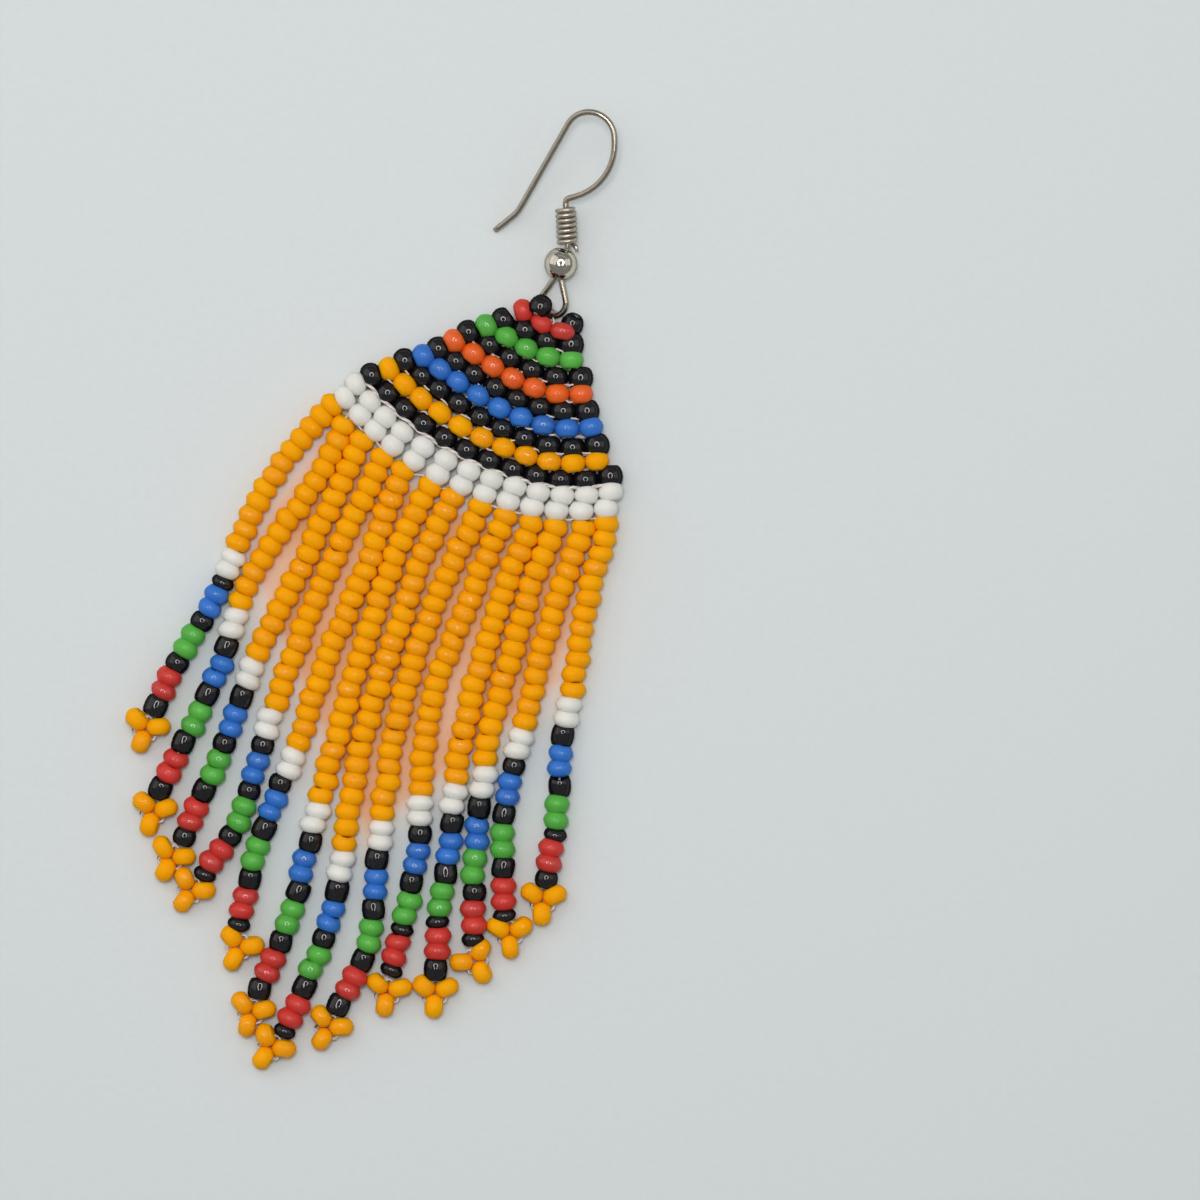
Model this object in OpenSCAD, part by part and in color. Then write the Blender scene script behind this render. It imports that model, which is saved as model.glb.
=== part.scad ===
// Beaded fringe earring, lying flat with its front up.
// Millimetres. +Z is up from the surface that it lies on, +Y points to the top of the ear hook.
// The fan is woven bead by bead and the fringe is strung on thread. Here the fan is one band and
// each string is one tube that ends in its picot, a tip of three beads.

/* [Beads] */
// Diameter of a seed bead
bead_d = 2.1; // [1.9:0.05:2.15]
// Length of a seed bead along its hole
bead_l = 1.43; // [1.3:0.01:1.5]
// Bevel that rounds the rim of a bead
bead_bevel = 0.3; // [0.2:0.05:0.35]

/* [Woven fan] */
// Radius from the middle of the fan's arcs to its first full row of beads
first_row_r = 12.19; // [12.1:0.01:12.2]
// Distance from one row of beads to the next
row_pitch = 1.49; // [1.46:0.01:1.5]
// Bevel along both edges of a row
row_bevel = 0.35; // [0.2:0.05:0.5]

/* [Fringe] */
// Width of the tube that stands for one string of beads
string_d = 2; // [1.8:0.05:2]
// Distance from the middle of a picot to the middle of each of its three beads
picot_r = 1.2; // [1.1:0.05:1.2]

/* [Ear hook] */
// Diameter of the ear wire
wire_d = 0.55; // [0.5:0.01:0.58]
// Radius of the high round bend that hangs in the ear
ear_bend_r = 2.35; // [2.2:0.05:2.5]
// Straight length of wire behind the ear
back_leg = 8.85; // [8:0.05:9]
// Straight length of the tail after its small bend
tail_l = 2.1; // [2:0.1:3]
// Radius of the round end of the loop that carries the fan
loop_r = 1.2; // [1.15:0.01:1.2]
// Distance between the two wires of the loop where they enter the ball
neck_gap = 0.61; // [0.6:0.01:0.65]
// Diameter of the metal ball
ball_d = 3; // [2.8:0.05:3]
// Diameter of the wire that the coil is wound from
coil_wire_d = 0.43; // [0.35:0.01:0.44]
// Radius of the coil at the middle of its wire
coil_r = 0.76; // [0.7:0.01:0.8]
// Number of turns of the coil
coil_turns = 6.75; // [5:0.25:7]
// Diameter of the thread
thread_d = 0.3; // [0.2:0.05:0.3]

/* [Hidden] */
$fn = 48;

// Bead and metal colours
BLACK = "#1e1c20";
RED = "#cd3232";
GREEN = "#41aa46";
VERMILION = "#fa6419";
BLUE = "#3273d2";
YELLOW = "#faa50a";
WHITE = "#ebebeb";
NICKEL = "#b4b0aa";

// The drawing is laid out around a point near the middle of the earring, and this moves it so that
// the origin is under the middle of the outline
origin_shift = [-0.01, 0.03, 0];

// Middle of the fan's arcs
fan_centre = [18.5, 34.6, 0];
// Full rows from the top: number of beads, the lean of the first and of the last bead from
// straight down, in degrees towards the left, and the colour
fan_rows = [
    [4, 34.2, 2.9, BLACK],
    [5, 38.2, 2.6, GREEN],
    [6, 41.8, -0.9, BLACK],
    [7, 43.3, -1.0, VERMILION],
    [8, 45.0, -2.6, BLACK],
    [9, 46.5, -3.4, BLUE],
    [10, 48.8, -4.6, BLACK],
    [11, 49.8, -4.3, YELLOW],
    [12, 51.2, -6.9, BLACK],
    [13, 51.8, -6.6, WHITE],
    [13, 51.0, -5.3, WHITE]
];
// Rows reach into each other by this much, so that the band is one solid
row_overlap = 0.02;
// Loose beads at the top of the fan, the first two on either side of the hook's loop: the middle of
// each, the direction of its hole in degrees from +X, and the colour
top_beads = [
    [15.1, 25.9, 1.8, 58, BLACK],
    [17.9, 24.1, 1.05, 55, BLACK],
    [13.5, 25.4, 1.05, 13, RED],
    [15.2, 24.2, 1.15, 52, RED],
    [17.1, 23.5, 1.35, 78, RED]
];

// One row for each string of the fringe, left to right: its route from the first bead to the last,
// seen from above, then the middle of its picot, and the direction of the picot's first bead in
// degrees from +X
strings = [
    [[[-3.9, 16.9], [-7.6, 12.7], [-10.5, 8.1], [-12.8, 3.2], [-14.4, -0.5], [-17.3, -5.4],
        [-19.9, -10.5]], [-20.8, -12.6], 131],
    [[[-2.8, 15.0], [-5.3, 10.0], [-8.5, 5.4], [-11.5, 0.5], [-13.9, -6.6], [-16.6, -12.4],
        [-19.4, -18.0]], [-20.1, -20.1], 135],
    [[[-1.1, 13.6], [-3.7, 8.3], [-6.1, 3.4], [-8.6, -1.6], [-10.5, -5.4], [-12.6, -11.2],
        [-14.8, -16.6], [-17.4, -22.3]], [-18.5, -24.3], 126],
    [[[0.8, 12.0], [-1.8, 7.0], [-4.1, 2.0], [-6.3, -3.2], [-9.0, -10.1], [-10.6, -15.5],
        [-12.3, -21.0], [-15.5, -25.7]], [-16.7, -27.2], 119],
    [[[2.6, 10.9], [0.7, 6.2], [-1.2, 1.1], [-3.5, -4.1], [-5.5, -9.3], [-6.8, -13.3],
        [-8.9, -18.7], [-11.0, -24.4], [-12.3, -30.3]], [-12.3, -32.4], 126],
    [[[5.0, 9.5], [2.6, 4.8], [0.5, -0.6], [-1.2, -5.7], [-2.8, -11.2], [-4.7, -18.0],
        [-6.2, -24.0], [-7.8, -30.1], [-10.4, -36.2]], [-11.2, -38.35], 133],
    [[[7.1, 8.5], [4.5, 3.5], [2.6, -2.0], [0.7, -7.4], [-0.9, -12.8], [-1.8, -17.0],
        [-2.7, -22.7], [-3.8, -29.0], [-5.7, -34.5], [-8.2, -40.0]], [-9.4, -41.5], 114],
    [[[9.7, 7.6], [7.1, 2.4], [4.9, -2.7], [3.1, -7.7], [1.8, -13.2], [0.7, -20.4],
        [0.1, -26.3], [-0.6, -32.2], [-3.2, -37.7]], [-4.2, -39.7], 122],
    [[[11.9, 6.8], [9.7, 2.0], [7.7, -3.1], [5.7, -8.1], [4.6, -13.4], [4.2, -17.7],
        [4.0, -23.4], [2.8, -29.4], [1.6, -34.5]], [1.2, -36.5], 139],
    [[[14.3, 6.1], [12.1, 0.8], [10.4, -4.3], [8.8, -9.7], [7.4, -16.6], [6.8, -22.9],
        [5.9, -28.9], [5.6, -34.4]], [5.5, -36.6], 145],
    [[[16.5, 5.8], [14.4, 0.7], [12.3, -6.4], [10.6, -12.0], [9.8, -17.9], [9.0, -25.8],
        [9.0, -31.7]], [9.1, -33.7], 183],
    [[[18.9, 5.8], [17.0, 0.5], [15.3, -5.0], [14.1, -10.2], [12.3, -17.5], [11.7, -23.7],
        [11.8, -29.5]], [12.3, -31.2], 151],
    [[[21.2, 6.1], [19.7, 0.5], [18.6, -4.8], [17.7, -10.1], [17.0, -14.4], [16.5, -20.6],
        [15.6, -26.2]], [15.3, -28.2], 145]
];
// A tube starts this far above the middle of its first bead, and ends this far from the middle of
// its picot, inside the picot's beads
string_head = 0.3;
string_foot = 0.9;
string_sides = 8;
// Radius to the tube's corners, so that its flat underside lies on the surface
string_corner_r = string_d / 2 / cos(180 / string_sides);

// The hook is drawn flat around the middle of the ball, and is then turned as it lies
ball_centre = [16.94, 29.68, ball_d / 2];
hook_turn = [8.8, -16.2, 0];
// The wires in the ball lean this much to the left of the shank
shank_lean = 14;
shank_bend_r = 1.2;
shank_l = 3.7;
// The wire steps over from the shank to the front leg in two bends of this angle
step_turn = 77;
step_bend_r = 0.5;
step_l = 0.6;
shoulder_r = 5;
front_leg = 0.4;
ear_turn = 147;
tail_turn = 21;
tail_bend_r = 3;
tip_l = 0.12;
// Wire from the middle of the ball up to the shank's bend, and down to the first bend of the loop
shank_foot = 1.6;
neck_foot = 1.25;
// The loop's free end reaches this far up from the loop's bend, into the ball
neck_end = 1.75;
// Each leg of the loop leans out by this much under the ball
loop_lean = 24;
loop_bend_r = 0.6;
loop_leg = (loop_r * cos(loop_lean) - neck_gap / 2 - loop_bend_r * (1 - cos(loop_lean))) / sin(loop_lean);
// The hook is one wire: straight length, bend radius and turn to the left of each stretch of it,
// from the free end in the ball round the loop, and up to the tail behind the ear
hook_stretches = [
    [neck_end, loop_bend_r, -loop_lean],
    [loop_leg, loop_r, 180 + 2 * loop_lean],
    [loop_leg, loop_bend_r, -loop_lean],
    [neck_foot + shank_foot, shank_bend_r, shank_lean],
    [shank_l, step_bend_r, -step_turn],
    [step_l, shoulder_r, step_turn],
    [front_leg, ear_bend_r, ear_turn],
    [back_leg, tail_bend_r, -tail_turn],
    [tail_l, 0, 0]
];
// A straight reaches this far into the bends beside it, which are this much thinner, so that the
// stretches join into one solid
seam = 0.03;
bend_thinning = 0.015;

// The coil stands around the shank. It starts behind it, where its loose end runs out to the right
coil_pitch = 0.47;
coil_start = [0.7, 1.85, 0];
coil_sides = 6;
coil_rings_per_turn = 16;
coil_tail = [[0.75, 0.5, -0.75], [0.6, 0.68, -0.4], [0.3, 0.77, -0.12]];
coil_first_angle = 90;
// Room around the two wires in the ball's hole
ball_play = 0.05;

// Route of the stitch from the left top bead, under the loop of the hook, to the right top bead
stitch_route = [[15.6, 26.7, 1.7], [15.8, 26.6, 1.2], [16.1, 25.9, 0.5], [16.5, 25.4, 0.2],
    [16.9, 25.1, 0.2], [17.1, 24.95, 0.35]];
stitch_sides = 6;

// Helpers
function unit(v) = v / norm(v);
function heading(path, i) = unit(path[min(i + 1, len(path) - 1)] - path[max(i - 1, 0)]);
function raised(points, z) = [for (p = points) [p[0], p[1], z]];

// A tube with flat ends along a path that nowhere runs straight up
module tube(path, r, sides) {
    last = len(path) - 1;
    rings = [
        for (i = [0:last])
            let (ahead = heading(path, i), side = unit(cross(ahead, [0, 0, 1])), over = cross(side, ahead))
                for (k = [0:sides - 1])
                    let (a = 360 * (k + 0.5) / sides)
                        path[i] + r * (cos(a) * side + sin(a) * over)
    ];
    wall = [
        for (i = [0:last - 1])
            for (k = [0:sides - 1])
                let (a = i * sides + k, b = i * sides + (k + 1) % sides)
                    each [[a, b, b + sides], [a, b + sides, a + sides]]
    ];
    first_end = [for (k = [1:sides - 2]) [0, k + 1, k]];
    last_end = [for (k = [1:sides - 2]) [last * sides, last * sides + k, last * sides + k + 1]];
    polyhedron(rings, concat(wall, first_end, last_end));
}

// A seed bead, round about +Z, with its middle at the origin
module bead() {
    r = bead_d / 2;
    h = bead_l / 2;
    rotate_extrude() polygon([
        [0, -h], [r - bead_bevel, -h], [r, bead_bevel - h], [r, h - bead_bevel], [r - bead_bevel, h], [0, h]
    ]);
}

// A wire bent in the drawing plane: it starts at the origin towards +Y, and what follows the
// module stands at its far end
module bent_wire(rows, i = 0) {
    straight = rows[i][0];
    bend_r = rows[i][1];
    turn = rows[i][2];
    side = sign(turn);
    before = i > 0 ? seam : 0;
    after = turn != 0 ? seam : 0;
    translate([0, -before, 0]) rotate([-90, 0, 0]) cylinder(h = before + straight + after, d = wire_d);
    if (turn != 0)
        translate([-side * bend_r, straight, 0]) {
            mirror([side < 0 ? 1 : 0, 0, 0])
                rotate_extrude(angle = abs(turn)) translate([bend_r, 0]) circle(d = wire_d - bend_thinning);
            rotate([0, 0, turn]) translate([side * bend_r, 0, 0]) bent_wire(rows, i + 1) children();
        }
    else
        translate([0, straight, 0]) children();
}

// The hook's parts are drawn flat and laid down together
module laid_hook() {
    translate(origin_shift + ball_centre) rotate(hook_turn) children();
}

module ear_hook() {
    color(NICKEL) laid_hook() rotate([0, 0, -shank_lean])
        translate([-neck_gap / 2, neck_end - neck_foot, 0]) rotate([0, 0, 180])
            bent_wire(hook_stretches)
                rotate([-90, 0, 0]) cylinder(h = tip_l, d1 = wire_d, d2 = wire_d / 2);
}

// Points of the coil around +Z, from its bent end upwards
function coil_points() = concat(
    [for (p = coil_tail) p],
    [for (i = [0:coil_turns * coil_rings_per_turn])
        let (a = coil_first_angle + 360 * i / coil_rings_per_turn)
            [coil_r * cos(a), coil_r * sin(a), coil_pitch * i / coil_rings_per_turn]]
);

module hook_coil() {
    color(NICKEL) laid_hook() translate(coil_start) rotate([-90, 0, 0])
        tube(coil_points(), coil_wire_d / 2, coil_sides);
}

module hook_ball() {
    bore_d = neck_gap + wire_d + 2 * ball_play;
    color(NICKEL) laid_hook() difference() {
        sphere(d = ball_d);
        rotate([0, 0, -shank_lean]) rotate([90, 0, 0]) cylinder(h = 2 * ball_d, d = bore_d, center = true);
    }
}

// One woven row of the fan: a stretch of a ring with bevelled edges
module fan_row(k) {
    beads = fan_rows[k][0];
    first = fan_rows[k][1];
    last = fan_rows[k][2];
    half_bead = (first - last) / (beads - 1) / 2;
    r = first_row_r + k * row_pitch;
    in = r - (row_pitch + row_overlap) / 2;
    out = r + (row_pitch + row_overlap) / 2;
    rotate([0, 0, -90 - first - half_bead])
        rotate_extrude(angle = first - last + 2 * half_bead, $fn = 96)
            polygon([
                [in + row_bevel, 0], [out - row_bevel, 0], [out, row_bevel], [out, bead_d - row_bevel],
                [out - row_bevel, bead_d], [in + row_bevel, bead_d], [in, bead_d - row_bevel], [in, row_bevel]
            ]);
}

module yoke() {
    translate(origin_shift) {
        translate(fan_centre) for (k = [0:len(fan_rows) - 1]) color(fan_rows[k][3]) fan_row(k);
        for (b = top_beads)
            color(b[4]) translate([b[0], b[1], b[2]]) rotate([0, 90, b[3]]) bead();
    }
}

module hanger_stitch() {
    color(WHITE) translate(origin_shift) tube(stitch_route, thread_d / 2, stitch_sides);
}

// Three beads in a ring, each with its rim towards the middle
module picot(first) {
    for (turn = [0, 120, 240])
        rotate([0, 0, first - turn]) translate([picot_r, 0, bead_d / 2]) rotate([90, 0, 0]) bead();
}

module strand(number) {
    route = strings[number - 1][0];
    tip = strings[number - 1][1];
    head = route[0] + string_head * unit(route[0] - route[1]);
    foot = tip + string_foot * unit(route[len(route) - 1] - tip);
    translate(origin_shift) color(YELLOW) {
        tube(raised(concat([head], route, [foot]), string_d / 2), string_corner_r, string_sides);
        translate(tip) picot(strings[number - 1][2]);
    }
}

ear_hook();
hook_coil();
hook_ball();
yoke();
hanger_stitch();
strand(1);  // strand_01
strand(2);  // strand_02
strand(3);  // strand_03
strand(4);  // strand_04
strand(5);  // strand_05
strand(6);  // strand_06
strand(7);  // strand_07
strand(8);  // strand_08
strand(9);  // strand_09
strand(10);  // strand_10
strand(11);  // strand_11
strand(12);  // strand_12
strand(13);  // strand_13
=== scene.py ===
"""Beaded fringe earring lying on a pale surface with its front up.

Every seed bead, the beading thread and the metal parts are modelled around the construction frame.
Sizes are in metres. Routes and places are drawn in millimetres, in the same drawing as the part's
source, and `on_drawing` turns them into places in the frame.
"""

import logging
import math
import random
from bisect import bisect_left
from dataclasses import dataclass, field
from enum import Enum
from functools import cache

import bmesh
import bpy
from bmesh.types import BMEdge, BMesh, BMVert
from bpy.types import ID, Material, Mesh, NodeSocket, NodeTree, Object, World
from mathutils import Matrix, Vector


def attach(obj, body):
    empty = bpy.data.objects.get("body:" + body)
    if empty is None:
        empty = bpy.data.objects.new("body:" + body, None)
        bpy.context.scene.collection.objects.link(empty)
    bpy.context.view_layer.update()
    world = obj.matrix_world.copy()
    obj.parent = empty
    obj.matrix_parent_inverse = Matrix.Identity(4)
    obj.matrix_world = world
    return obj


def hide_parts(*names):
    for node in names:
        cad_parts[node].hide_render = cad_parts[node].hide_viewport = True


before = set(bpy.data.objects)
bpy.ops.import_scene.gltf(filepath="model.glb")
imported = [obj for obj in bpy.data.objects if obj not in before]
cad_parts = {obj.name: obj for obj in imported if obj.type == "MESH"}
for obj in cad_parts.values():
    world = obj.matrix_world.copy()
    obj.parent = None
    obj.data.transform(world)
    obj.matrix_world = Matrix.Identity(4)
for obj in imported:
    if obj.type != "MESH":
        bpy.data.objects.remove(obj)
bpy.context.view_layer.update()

LOG = logging.getLogger("earring")
MM = 0.001
BODY = "root"
UP = Vector((0.0, 0.0, 1.0))
# The drawing's zero lies this far from the frame's, in millimetres
DRAWING_SHIFT = (-0.01, 0.03)
# One subdivision rounds every bead; the cage under it has this many sides
CAGE_SIDES = 12
SMOOTHING = 1
THREAD_SIDES = 6
THREAD = 0.26 * MM
LAMP_COLOUR = "#fffbf7"
Pair = tuple[float, float]
Triple = tuple[float, float, float]
Inputs = dict[str | int, NodeSocket | float | Vector | tuple[float, ...]]


def on_drawing(x: float, y: float, z: float = 0.0) -> Vector:
    """Turns a place on the drawing, with its height above the surface, into a place in the frame."""
    return Vector((x + DRAWING_SHIFT[0], y + DRAWING_SHIFT[1], z)) * MM


def leaning(degrees: float) -> Vector:
    """Gives the direction that leans to the left of straight down the drawing by so many degrees."""
    return Vector((-math.sin(math.radians(degrees)), -math.cos(math.radians(degrees)), 0.0))


def pointing(degrees: float) -> Vector:
    """Gives the direction in the drawing at so many degrees from +X."""
    return Vector((math.cos(math.radians(degrees)), math.sin(math.radians(degrees)), 0.0))


def turning(degrees: float, axis: str) -> Matrix:
    """Gives the turn by so many degrees about an axis."""
    return Matrix.Rotation(math.radians(degrees), 4, axis)


def linear(colour: str) -> tuple[float, float, float, float]:
    """Turns an sRGB colour, "#rrggbb", into the linear one that the nodes use, with an alpha of 1."""
    parts = [int(colour[place : place + 2], 16) / 255 for place in (1, 3, 5)]
    return *[p / 12.92 if p <= 0.04045 else ((p + 0.055) / 1.055) ** 2.4 for p in parts], 1.0


def add_node(
    tree: NodeTree, kind: str, inputs: Inputs | None = None, output: int | str = 0, **settings
) -> NodeSocket | None:
    """Adds one node with its settings and links.

    Args:
        tree: The node tree that gets the node.
        kind: Blender's name of the node's type, without the ShaderNode that it starts with.
        inputs: For each socket, by name or number, a value or the output that feeds it.
        output: Name or number of the output that is wanted.
        **settings: The node's own properties.

    Returns:
        The wanted output, or None if the node has no outputs.
    """
    node = tree.nodes.new("ShaderNode" + kind)
    for name, value in settings.items():
        setattr(node, name, value)
    for name, value in (inputs or {}).items():
        if isinstance(value, NodeSocket):
            tree.links.new(value, node.inputs[name])
        else:
            node.inputs[name].default_value = value
    return node.outputs[output] if node.outputs else None


def cleared_tree(owner: Material | World) -> NodeTree:
    """Gives the node tree of a material or a world, without any nodes."""
    owner.use_nodes = True
    owner.node_tree.nodes.clear()
    return owner.node_tree


class Finish:
    """A look. Each kind of look gives the inputs of its shader."""

    name: str

    def shader(self, tree: NodeTree) -> Inputs:
        """Gives what feeds each input of the shader."""
        raise NotImplementedError

    @cache
    def material(self) -> Material:
        """Gives the look's material, which is made only once."""
        material = bpy.data.materials.new(self.name)
        tree = cleared_tree(material)
        shader = add_node(tree, "BsdfPrincipled", self.shader(tree))
        add_node(tree, "OutputMaterial", {"Surface": shader})
        return material


@dataclass(frozen=True)
class GlassFinish(Finish):
    """Opaque pressed glass, coloured all through, as seed beads are made of.

    It goes from satin, as it came from the kiln, to tumbled glossy, and each bead is a shade
    lighter or darker than its neighbours.
    """

    name: str
    tint: str
    deep: str
    # The satin body of the glass, and how much smoother and rougher its fine pits make it
    roughness: float = 0.5
    pitted: Pair = (-0.05, 0.08)
    body_ior: float = 1.52
    body_shine: float = 0.25
    # The thin glossy skin over it
    gloss: float = 0.2
    gloss_roughness: float = 0.05
    gloss_ior: float = 1.52
    # Some beads are tumbled glossier: the tones where that begins and is full, and the factor then
    tumbled: Pair = (0.62, 0.9)
    tumbled_gloss: float = 5.0
    # The fine pits hide each other's shine where the surface is seen edge on: where that begins and
    # is full, and what is then left of the shine
    turned_away: Pair = (0.2, 0.5)
    edge_gloss: float = 0.1
    # Share of the light that goes into the glass and out again, and how far each colour gets
    glow: float = 0.0
    glow_reach: Triple = (1.0, 1.0, 1.0)
    glow_depth: float = 0.8 * MM
    # Size, detail and roughness of the faint clouds in the glass, of the fine pits of its surface,
    # and of the soft ripples that bend every reflection
    clouds: Triple = (0.45 * MM, 3.0, 0.6)
    pits: Triple = (0.09 * MM, 2.0, 0.5)
    ripples: Triple = (0.55 * MM, 1.0, 0.4)
    pit_depth: float = 0.006 * MM
    pit_strength: float = 0.6
    ripple_depth: float = 0.012 * MM

    def shader(self, tree: NodeTree) -> Inputs:
        """Builds the glass: cloudy colour, a tone for each bead, satin pitting and a thin gloss."""
        place = add_node(tree, "TexCoord", output="Object")
        tone = add_node(tree, "Attribute", output="Fac", attribute_name="bead_tone")
        clouds, pits, ripples = [
            add_node(
                tree, "TexNoise", {"Vector": place, "Scale": 1 / size, "Detail": fine, "Roughness": sharp}
            )
            for size, fine, sharp in (self.clouds, self.pits, self.ripples)
        ]
        mixed = add_node(tree, "Math", {0: clouds, 1: tone}, operation="MULTIPLY")
        colours = {"Factor": mixed, 6: linear(self.tint), 7: linear(self.deep)}
        colour = add_node(tree, "Mix", colours, output=2, data_type="RGBA")
        polish, wear = (self.roughness + change for change in self.pitted)
        dull = add_node(tree, "MapRange", {"Value": pits, "To Min": polish, "To Max": wear})
        bend = {"Height": ripples, "Distance": self.ripple_depth, "Strength": 1.0}
        uneven = add_node(tree, "Bump", bend)
        pitted = {"Height": pits, "Distance": self.pit_depth, "Strength": self.pit_strength}
        shine = {"To Min": self.gloss, "To Max": min(1.0, self.gloss * self.tumbled_gloss)}
        tones = {"Value": tone, "From Min": self.tumbled[0], "From Max": self.tumbled[1]}
        glossier = add_node(tree, "MapRange", tones | shine)
        edge = add_node(tree, "LayerWeight", {"Blend": 0.5}, output="Facing")
        tilts = {"Value": edge, "From Min": self.turned_away[0], "From Max": self.turned_away[1]}
        crown = add_node(tree, "MapRange", tilts | {"To Min": 1.0, "To Max": self.edge_gloss})
        skin = add_node(tree, "Math", {0: glossier, 1: crown}, operation="MULTIPLY")
        return {
            "Base Color": colour,
            "Roughness": dull,
            "Normal": add_node(tree, "Bump", pitted | {"Normal": uneven}),
            "IOR": self.body_ior,
            "Specular IOR Level": self.body_shine,
            "Coat Weight": skin,
            "Coat Roughness": self.gloss_roughness,
            "Coat IOR": self.gloss_ior,
            "Coat Normal": uneven,
            "Subsurface Weight": self.glow,
            "Subsurface Radius": self.glow_reach,
            "Subsurface Scale": self.glow_depth,
        }


class Glass(Enum):
    """The colours of seed bead in the earring."""

    BLACK = GlassFinish(
        "glossy_black_glass", "#151316", "#0c0b0d", body_shine=0.0, gloss=1.0, gloss_ior=1.56,
        pit_depth=0.0006 * MM,
    )
    ORANGE = GlassFinish(
        "satin_yellow_orange_glass", "#fbab00", "#ee9600", body_shine=0.06, gloss=0.1, glow=0.4,
        glow_reach=(1.0, 0.5, 0.12),
    )
    WHITE = GlassFinish(
        "satin_chalk_white_glass", "#e6e6e0", "#dadad3", gloss=0.05, glow=0.25,
        glow_reach=(1.0, 0.8, 0.65),
    )
    BLUE = GlassFinish("satin_blue_glass", "#2f73cc", "#2460b2", gloss=0.4)
    GREEN = GlassFinish("satin_green_glass", "#57b244", "#419c34", gloss=0.25)
    RED = GlassFinish("satin_red_glass", "#cf372f", "#b42b25", gloss=0.3)
    VERMILION = GlassFinish(
        "satin_vermilion_glass", "#ec671a", "#de550e", gloss=0.4, glow=0.3, glow_reach=(1.0, 0.3, 0.1)
    )


@dataclass(frozen=True)
class MetalFinish(Finish):
    """Drawn or turned metal with a bright nickel plating, which keeps faint lines and soft wear."""

    name: str
    bright: str
    worn: str
    roughness: float
    # Factors on the roughness where the plating is polished and where it is worn
    polished: Pair = (0.7, 1.35)
    # The plating is darker where it is seen edge on
    edge: str = "#a8a294"
    # Size, detail and roughness of the cloudy wear, and of the fine drawing lines and scratches
    wear: Triple = (0.8 * MM, 4.0, 0.65)
    scratches: Triple = (0.05 * MM, 2.0, 0.5)
    scratch_depth: float = 0.0005 * MM
    scratch_strength: float = 0.1

    def shader(self, tree: NodeTree) -> Inputs:
        """Builds the plating: slightly warm metal that is duller where it is handled."""
        place = add_node(tree, "TexCoord", output="Object")
        wear, lines = [
            add_node(
                tree, "TexNoise", {"Vector": place, "Scale": 1 / size, "Detail": fine, "Roughness": sharp}
            )
            for size, fine, sharp in (self.wear, self.scratches)
        ]
        colours = {"Factor": wear, 6: linear(self.bright), 7: linear(self.worn)}
        polish, dull = (self.roughness * share for share in self.polished)
        scratches = {"Height": lines, "Distance": self.scratch_depth, "Strength": self.scratch_strength}
        return {
            "Base Color": add_node(tree, "Mix", colours, output=2, data_type="RGBA"),
            "Metallic": 1.0,
            "Specular Tint": linear(self.edge),
            "Roughness": add_node(tree, "MapRange", {"Value": wear, "To Min": polish, "To Max": dull}),
            "Normal": add_node(tree, "Bump", scratches),
        }


class Metal(Enum):
    """The metal finishes of the hook, its coil and its ball."""

    HOOK = MetalFinish("nickel_plated_drawn_wire", "#c6bdad", "#a0978a", 0.22)
    COIL = MetalFinish("nickel_plated_wound_wire", "#dad2c4", "#b3a99b", 0.32)
    BALL = MetalFinish("nickel_plated_turned_ball", "#e8e1d3", "#cfc8b9", 0.12)


@dataclass(frozen=True)
class ThreadFinish(Finish):
    """White nylon beading thread: two plies twisted together, matte, with a little sheen."""

    name: str = "twisted_nylon_thread"
    # Colour of the plies' crests, and the painted shade of the grooves between them
    light: str = "#e6deda"
    shade: str = "#b9ada8"
    roughness: float = 0.62
    sheen: float = 0.25
    sheen_roughness: float = 0.4
    plies: float = 2.0
    ply_depth: float = 0.03 * MM
    ply_strength: float = 0.8
    twist_length: float = 0.9 * MM

    def shader(self, tree: NodeTree) -> Inputs:
        """Builds the thread from its own attribute, which holds the way round and the way along."""
        course = add_node(tree, "Attribute", output="Vector", attribute_name="thread_course")
        across, aside, along = add_node(tree, "SeparateXYZ", {0: course}).node.outputs
        around = add_node(tree, "Math", {0: aside, 1: across}, operation="ARCTAN2")
        rate = 2 * math.pi / self.twist_length
        twist = add_node(tree, "Math", {0: along, 1: rate}, operation="MULTIPLY")
        turns = {0: around, 1: self.plies, 2: twist}
        turned = add_node(tree, "Math", turns, operation="MULTIPLY_ADD")
        ply = add_node(tree, "Math", {0: turned}, operation="COSINE")
        raised = add_node(tree, "MapRange", {"Value": ply, "From Min": -1.0, "From Max": 1.0})
        # Painted shade: the grooves between the plies are painted darker than their crests
        colours = {"Factor": raised, 6: linear(self.shade), 7: linear(self.light)}
        twisted = {"Height": raised, "Distance": self.ply_depth, "Strength": self.ply_strength}
        return {
            "Base Color": add_node(tree, "Mix", colours, output=2, data_type="RGBA"),
            "Roughness": self.roughness,
            "Normal": add_node(tree, "Bump", twisted),
            "Sheen Weight": self.sheen,
            "Sheen Roughness": self.sheen_roughness,
        }


def lathe(bm: BMesh, outline: list[Pair], sides: int) -> None:
    """Spins a closed outline all the way round Z.

    Args:
        bm: The empty mesh that gets the shape.
        outline: (radius, height) of each corner, in order.
        sides: Number of sides of the shape.
    """
    corners = [bm.verts.new((radius, 0.0, height)) for radius, height in outline]
    edges = [bm.edges.new((corners[i - 1], corner)) for i, corner in enumerate(corners)]
    bmesh.ops.spin(bm, geom=corners + edges, axis=UP, angle=2 * math.pi, steps=sides, use_merge=True)


def finished_mesh(name: str, bm: BMesh) -> Mesh:
    """Turns a bmesh, which is freed, into a mesh of that name."""
    mesh = bpy.data.meshes.new(name)
    bm.to_mesh(mesh)
    bm.free()
    return mesh


def placed(name: str, data: ID) -> Object:
    """Adds an object of that name with a mesh, a light or a camera to the scene."""
    thing = bpy.data.objects.new(name, data)
    bpy.context.scene.collection.objects.link(thing)
    return thing


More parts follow.
